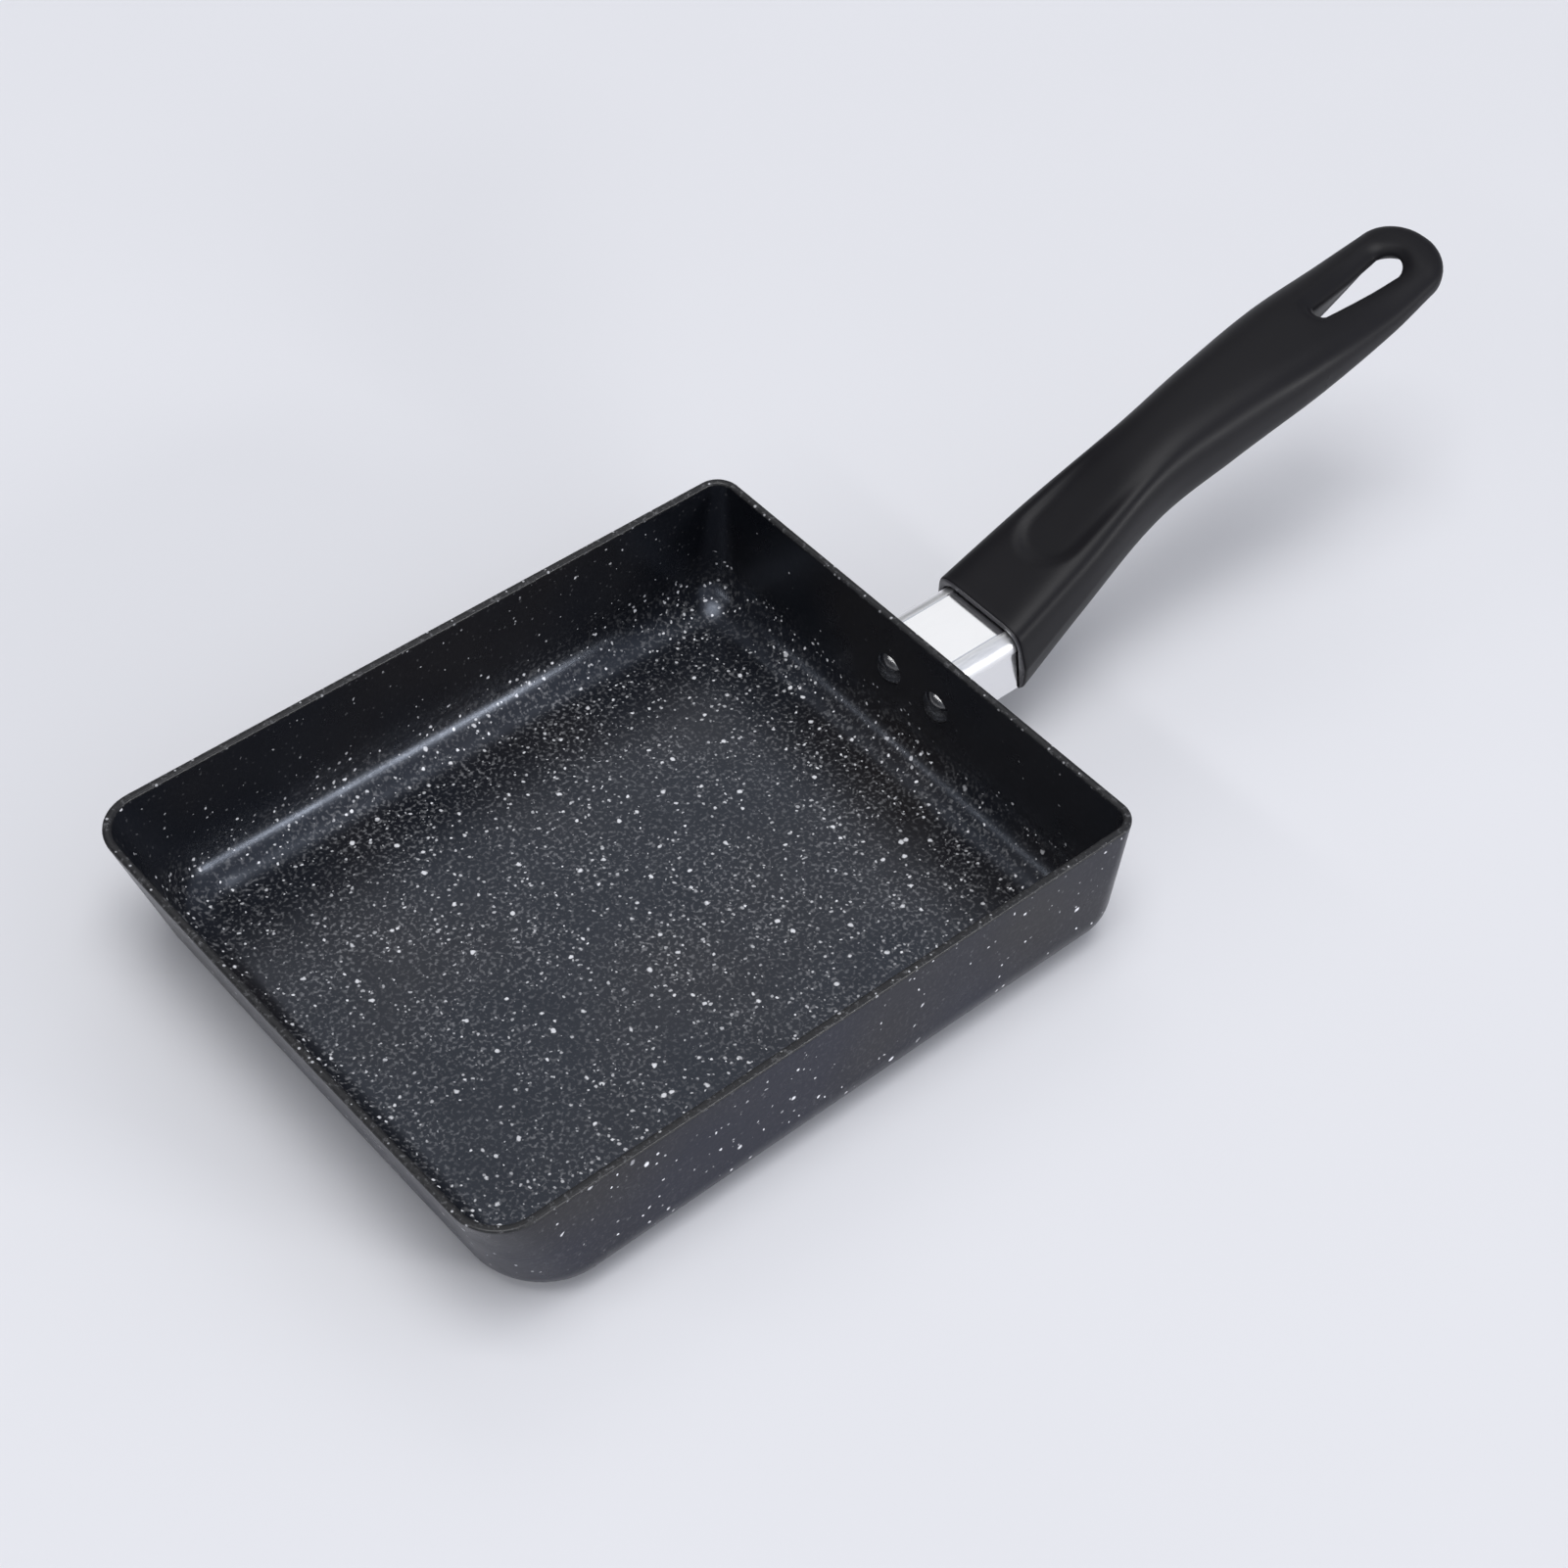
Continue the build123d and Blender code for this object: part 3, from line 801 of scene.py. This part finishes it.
def slot_loop(widths, offset, reach):
    """Outline of the hanging slot grown by the offset, from +Y round the far end to the near end."""
    near_width, far_width = widths
    far_radius = far_width / 2
    far = (slot_far_face - far_radius + reach, 0.0)
    near_x = slot_near_face + slot_near_radius
    near_y = near_width / 2 - slot_near_radius
    span = (far[0] - near_x, -near_y)
    tangent = math.atan2(span[1], span[0]) + math.acos((slot_near_radius - far_radius) / math.hypot(*span))

    def at(centre, radius, angle):
        return (centre[0] + (radius + offset) * math.cos(angle),
                centre[1] + (radius + offset) * math.sin(angle))

    left, right = (near_x, near_y), (near_x, -near_y)
    points = straight_points(at(left, slot_near_radius, tangent), at(far, far_radius, tangent), side_steps)
    points += arc_points(far, far_radius + offset, tangent, -tangent, tip_steps)
    points += straight_points(at(far, far_radius, -tangent), at(right, slot_near_radius, -tangent),
                              side_steps)
    points += arc_points(right, slot_near_radius + offset, -tangent, -math.pi, slot_corner_steps)
    points += straight_points(at(right, slot_near_radius, -math.pi), at(left, slot_near_radius, math.pi),
                              half_steps - 2 * slot_corner_steps)
    points += arc_points(left, slot_near_radius + offset, math.pi, tangent, slot_corner_steps)
    return points


def end_loop():
    """Outline of the handle's end, in step with the slot's outline."""
    root = mouth_face + handle_length * station_place_shares[-1]
    root_width = handle_form(root)[2]
    points = []
    for step in range(side_steps):
        x = slot_zone_face + (root - slot_zone_face) * step / side_steps
        points.append((x, handle_form(x)[2]))
    for step in range(tip_steps):
        angle = math.pi * step / tip_steps
        points.append((root + (tip_face - root) * math.sin(angle), root_width * math.cos(angle)))
    for step in range(side_steps):
        x = root + (slot_zone_face - root) * step / side_steps
        points.append((x, -handle_form(x)[2]))
    for step in range(half_steps):
        angle = math.pi * (1 - step / half_steps)
        points.append(tuple(section_point(slot_zone_face, angle))[:2])
    return points


def slot_sheet(side, widths, lip, reach=0.0):
    """Rings of the top or the underside from the handle's outline to the waist of the slot."""
    lip_width, lip_drop = lip
    outer = end_loop()
    inner = slot_loop(widths, lip_width, reach)
    rings = []
    for step in range(sheet_steps + 1):
        way = 1 - (step / sheet_steps) ** sheet_crowding
        ring = []
        for (x0, y0), (x1, y1) in zip(inner, outer):
            x, y = x0 + (x1 - x0) * way, y0 + (y1 - y0) * way
            ring.append(Vector((x, y, flat_height(x, y, side))))
        rings.append(ring)
    edge = rings[-1]
    for step in range(1, lip_steps + 1):
        angle = math.pi / 2 * step / lip_steps
        loop = slot_loop(widths, lip_width * (1 - math.sin(angle)), reach)
        drop = lip_drop * (1 - math.cos(angle))
        rings.append([Vector((x, y, point.z - side * drop)) for (x, y), point in zip(loop, edge)])
    return rings


def box_point(angle, half_width, low, high, top_radius, low_radius):
    """Point of a rounded rectangle in the direction of an angle from its middle."""
    across, up = math.cos(angle), math.sin(angle)
    half_height = (high - low) / 2
    radius = top_radius if up > 0 else low_radius
    reach = min(half_width / max(abs(across), least_share), half_height / max(abs(up), least_share))
    corner = (half_width - radius, half_height - radius)
    if reach * abs(across) > corner[0] and reach * abs(up) > corner[1] and radius > 0:
        along = abs(across) * corner[0] + abs(up) * corner[1]
        reach = along + math.sqrt(max(along ** 2 - corner[0] ** 2 - corner[1] ** 2 + radius ** 2, 0.0))
    return reach * across, (high + low) / 2 + reach * up


def mouth_x(z):
    """Place of the slanted mouth at a height."""
    return mouth_face + mouth_slant * (mouth_top - z) / (mouth_top - mouth_bottom)


def skin_ring(step):
    """Ring of the handle's skin; the first rings follow the slant of the mouth."""
    way = step / skin_steps
    ring = []
    for turn in range(2 * half_steps):
        angle = math.pi * turn / half_steps
        level_x = mouth_face + mouth_round + (slot_zone_face - mouth_face - mouth_round) * way
        height = section_point(level_x, angle).z
        slanting = (mouth_x(height) - mouth_face) * max(1 - (level_x - mouth_face) / slant_fading, 0.0)
        ring.append(section_point(level_x + slanting, angle))
    return ring


def box_ring(x, half_width, low, high, radius, low_radius=None):
    """Rounded rectangle square to +X, or in the slant of the mouth where x isn't given."""
    ring = []
    for turn in range(2 * half_steps):
        angle = math.pi * turn / half_steps
        y, z = box_point(angle, half_width, low, high, radius, radius if low_radius is None else low_radius)
        ring.append(Vector((mouth_x(z) if x is None else x, y, z)))
    return ring


def mouth_rings():
    """Rings from the end of the handle's hollow to the edge of its skin."""
    socket_end = guard_high.x + guard_fit
    neck = mouth_face + handle_length * station_place_shares[1]
    middle, half_depth, half_width = handle_form(socket_end)
    start = (guard_high.y + guard_fit - mouth_shoulder, middle - half_depth + hollow_wall,
             guard_high.z + guard_fit - mouth_shoulder)
    middle, half_depth, half_width = handle_form(neck)
    thick = (half_width - hollow_wall, middle - half_depth + hollow_wall,
             middle + half_depth - hollow_wall - thumb_depth)
    middle, half_depth, half_width = handle_form(tab_face)
    end = (half_width - hollow_wall, middle - half_depth + hollow_wall, middle + half_depth - hollow_wall)
    socket = (guard_high.y + guard_fit, guard_low.z - guard_fit, guard_high.z + guard_fit)
    radius = guard_corner_radius + guard_fit
    wide = [socket[0] + mouth_edge, socket[1] - mouth_edge, socket[2] + mouth_edge]
    rings = [box_ring(tab_face, *end, hollow_corner_radius), box_ring(neck, *thick, hollow_corner_radius),
             box_ring(socket_end, *start, hollow_corner_radius),
             box_ring(socket_end, *socket, radius, 0.0)]
    inner = box_ring(None, *socket, radius, 0.0)
    rings.append([point + Vector((mouth_edge, 0, 0)) for point in inner])
    rings.append(box_ring(None, *wide, radius + mouth_edge, mouth_edge))
    first = skin_ring(0)
    centre = Vector((mouth_face, 0, (mouth_top + mouth_bottom) / 2))
    for step in range(1, mouth_round_steps):
        angle = math.pi / 2 * step / mouth_round_steps
        ring = []
        for point in first:
            inward = (centre - point)
            inward.x = 0
            pulled = point + inward.normalized() * mouth_round * (1 - math.sin(angle))
            pulled.x = point.x - mouth_round * math.cos(angle)
            ring.append(pulled)
        rings.append(ring)
    return rings


def add_rings(mesh, rings):
    """Faces between rings of the same number of points."""
    rows = [[mesh.verts.new(point) for point in ring] for ring in rings]
    count = len(rows[0])
    for row, above in zip(rows, rows[1:]):
        for step in range(count):
            after = (step + 1) % count
            mesh.faces.new((row[step], row[after], above[after], above[step]))
    return rows


def screw_line():
    """Ends of the screw's axis, at the bracket's tab and at the near wall of the slot."""
    tab = Vector((tab_face, 0, handle_form(tab_face)[0] + screw_lift_at_tab))
    slot = Vector((slot_near_face, 0, handle_form(slot_near_face)[0] + screw_lift_at_slot))
    return tab, slot


def make_screw_cutter():
    """Stepped bar where the screw and its head lie in the handle."""
    tab, slot = screw_line()
    way = (slot - tab).normalized()
    seat = slot - way * screw_seat_depth
    side = Vector((0, 1, 0))
    up = way.cross(side)
    narrow, wide = screw_tunnel_radius, screw_pocket_radius
    profile = ((tab - way * cut_overrun, narrow), (seat, narrow), (seat, wide), (slot, wide))
    mesh = bmesh.new()
    rings = []
    for place, radius in profile:
        rings.append([place + radius * (math.cos(angle) * side + math.sin(angle) * up)
                      for angle in (2 * math.pi * step / bore_steps for step in range(bore_steps))])
    rows = add_rings(mesh, rings)
    mesh.faces.new(rows[0])
    mesh.faces.new(rows[-1])
    return finished_piece(mesh, "screw_cutter", ())


def finished_piece(mesh, name, materials):
    """Object from a bmesh, with doubled points joined and its faces turned outwards."""
    bmesh.ops.remove_doubles(mesh, verts=mesh.verts, dist=joining_distance)
    bmesh.ops.recalc_face_normals(mesh, faces=mesh.faces)
    data = bpy.data.meshes.new(name)
    mesh.to_mesh(data)
    mesh.free()
    for face in data.polygons:
        face.use_smooth = True
    for material in materials:
        data.materials.append(material)
    piece = bpy.data.objects.new(name, data)
    bpy.context.scene.collection.objects.link(piece)
    return piece


def cut_away(piece, cutter):
    """Take the cutter's space out of the piece, then remove the cutter."""
    cut = piece.modifiers.new("cut", "BOOLEAN")
    cut.operation = "DIFFERENCE"
    cut.solver = "EXACT"
    cut.object = cutter
    bpy.context.view_layer.update()
    evaluated = piece.evaluated_get(bpy.context.evaluated_depsgraph_get())
    data = bpy.data.meshes.new_from_object(evaluated)
    data.name = piece.name
    piece.modifiers.clear()
    piece.data = data
    bpy.data.objects.remove(cutter)


def guard_half():
    """Half of the guard's outline on +Y, from its lower edge over the bend to a fine crease."""
    middle_y, middle_z = guard_high.y - guard_corner_radius, guard_high.z - guard_corner_radius
    outer = [(guard_high.y, guard_low.z)]
    inner = [(guard_high.y - guard_sheet, guard_low.z)]
    for step in range(bend_steps + 1):
        angle = math.pi / 2 * step / bend_steps
        for line, radius in ((outer, guard_corner_radius), (inner, guard_corner_radius - guard_sheet)):
            line.append((middle_y + radius * math.cos(angle), middle_z + radius * math.sin(angle)))
    outer.append((middle_y - crease_width / 2, guard_high.z - crease_depth))
    outer.append((middle_y - crease_width, guard_high.z))
    return outer, inner


def make_guard(sheet, bend):
    """Flame guard of inverted U section, its bends in a material of their own."""
    outer, inner = guard_half()
    line = outer + [(-y, z) for y, z in reversed(outer)] + [(-y, z) for y, z in inner] + inner[::-1]
    mesh = bmesh.new()
    rows = add_rings(mesh, [[Vector((x, y, z)) for y, z in line] for x in (guard_low.x, guard_high.x)])
    bend_y, bend_z = guard_high.y - guard_corner_radius, guard_high.z - guard_corner_radius
    for face in mesh.faces:
        centre = face.calc_center_median()
        if abs(centre.y) > bend_y and centre.z > bend_z:
            face.material_index = 1
    mesh.faces.new(rows[0])
    mesh.faces.new(rows[-1])
    piece = finished_piece(mesh, "bent_flame_guard", (sheet, bend))
    piece.data.set_sharp_from_angle(angle=crease_angle)
    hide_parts("flame_guard")
    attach(piece, "root")


def make_handle(skin, mouth):
    """Handle as one closed mesh with its mouth, hollow, hanging slot and screw pocket."""
    mesh = bmesh.new()
    edge = mouth_rings()
    rings = edge + [skin_ring(step) for step in range(skin_steps + 1)]
    rows = add_rings(mesh, rings)
    mesh.faces.new(rows[0])
    count = len(rows[0])
    # The end face of the mouth takes the lighter plastic, a painted reflection of the guard
    mouth_start = (len(edge) - mouth_round_steps) * count
    mesh.faces.ensure_lookup_table()
    for face in mesh.faces[mouth_start:mouth_start + count]:
        face.material_index = 1
    top = slot_sheet(1, slot_top_widths, slot_top_lip)
    low = slot_sheet(-1, slot_low_widths, slot_low_lip, slot_low_reach)
    add_rings(mesh, top)
    add_rings(mesh, low)
    add_rings(mesh, [[a.lerp(b, step / wall_steps) for a, b in zip(top[-1], low[-1])]
                     for step in range(wall_steps + 1)])
    piece = finished_piece(mesh, "moulded_handle", (skin, mouth))
    cut_away(piece, make_screw_cutter())
    piece.data.set_sharp_from_angle(angle=sharp_angle)
    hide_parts("handle")
    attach(piece, "root")


def make_floor():
    """Wide floor just under the part."""
    mesh = bpy.data.meshes.new("studio_floor")
    corners = [(x * floor_reach, y * floor_reach, -floor_gap)
               for x, y in ((-1, -1), (1, -1), (1, 1), (-1, 1))]
    mesh.from_pydata(corners, [], [(0, 1, 2, 3)])
    mesh.materials.append(make_paper_material())
    floor = bpy.data.objects.new("studio_floor", mesh)
    bpy.context.scene.collection.objects.link(floor)


def dress(node, material):
    """Give a CAD node its material."""
    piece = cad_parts[node]
    piece.data.materials.clear()
    piece.data.materials.append(material)


bpy.context.scene.view_settings.view_transform = "Standard"
make_camera()
make_world()
for lamp in lamps:
    make_lamp(*lamp)
make_floor()

outside = make_coating("coating_outside", outside_ground, mottle=0.02, fleck_share=0.14, gloss=0.22)
# Only a small share of the pattern goes up the inside walls, painted shade that darkens them
inside = make_coating("coating_inside", inside_ground, mottle=0.13, fleck_share=1.1, gloss=0.65,
                      painted_shade_wall_share=0.12)
make_pan_body(outside, make_rim_material(), inside)

plastic = make_plastic("moulded_plastic", plastic_colour, roughness=0.44, gloss=0.21)
# Mouth face: the plastic coloured lighter and glossier, a painted reflection of the guard
mouth = make_plastic("plastic_mouth_face_painted_reflection", painted_reflection_mouth_colour, roughness=0.3, gloss=0.6)
make_handle(plastic, mouth)

bright = make_steel("bright_steel", bright_colour, roughness=0.14, stretch=rolled_stretch, bump=0.012)
satin = make_steel("satin_steel", satin_colour, roughness=0.36, stretch=rolled_stretch, bump=0.02)
make_guard(bright, satin)

plain = make_steel("plain_steel", plain_colour, roughness=0.4, stretch=pressed_stretch, bump=0.2)
plated = make_steel("plated_steel", plated_colour, roughness=0.28, stretch=even_stretch, bump=0.1)
rivet = make_plastic("coated_rivet", rivet_colour, roughness=0.14, gloss=0.75, index=2.3)
dress("handle_bracket", plain)
for node in ("handle_screw", "spring_washer", "bracket_nut"):
    dress(node, plated)
for node in ("rivet_left", "rivet_right"):
    dress(node, rivet)
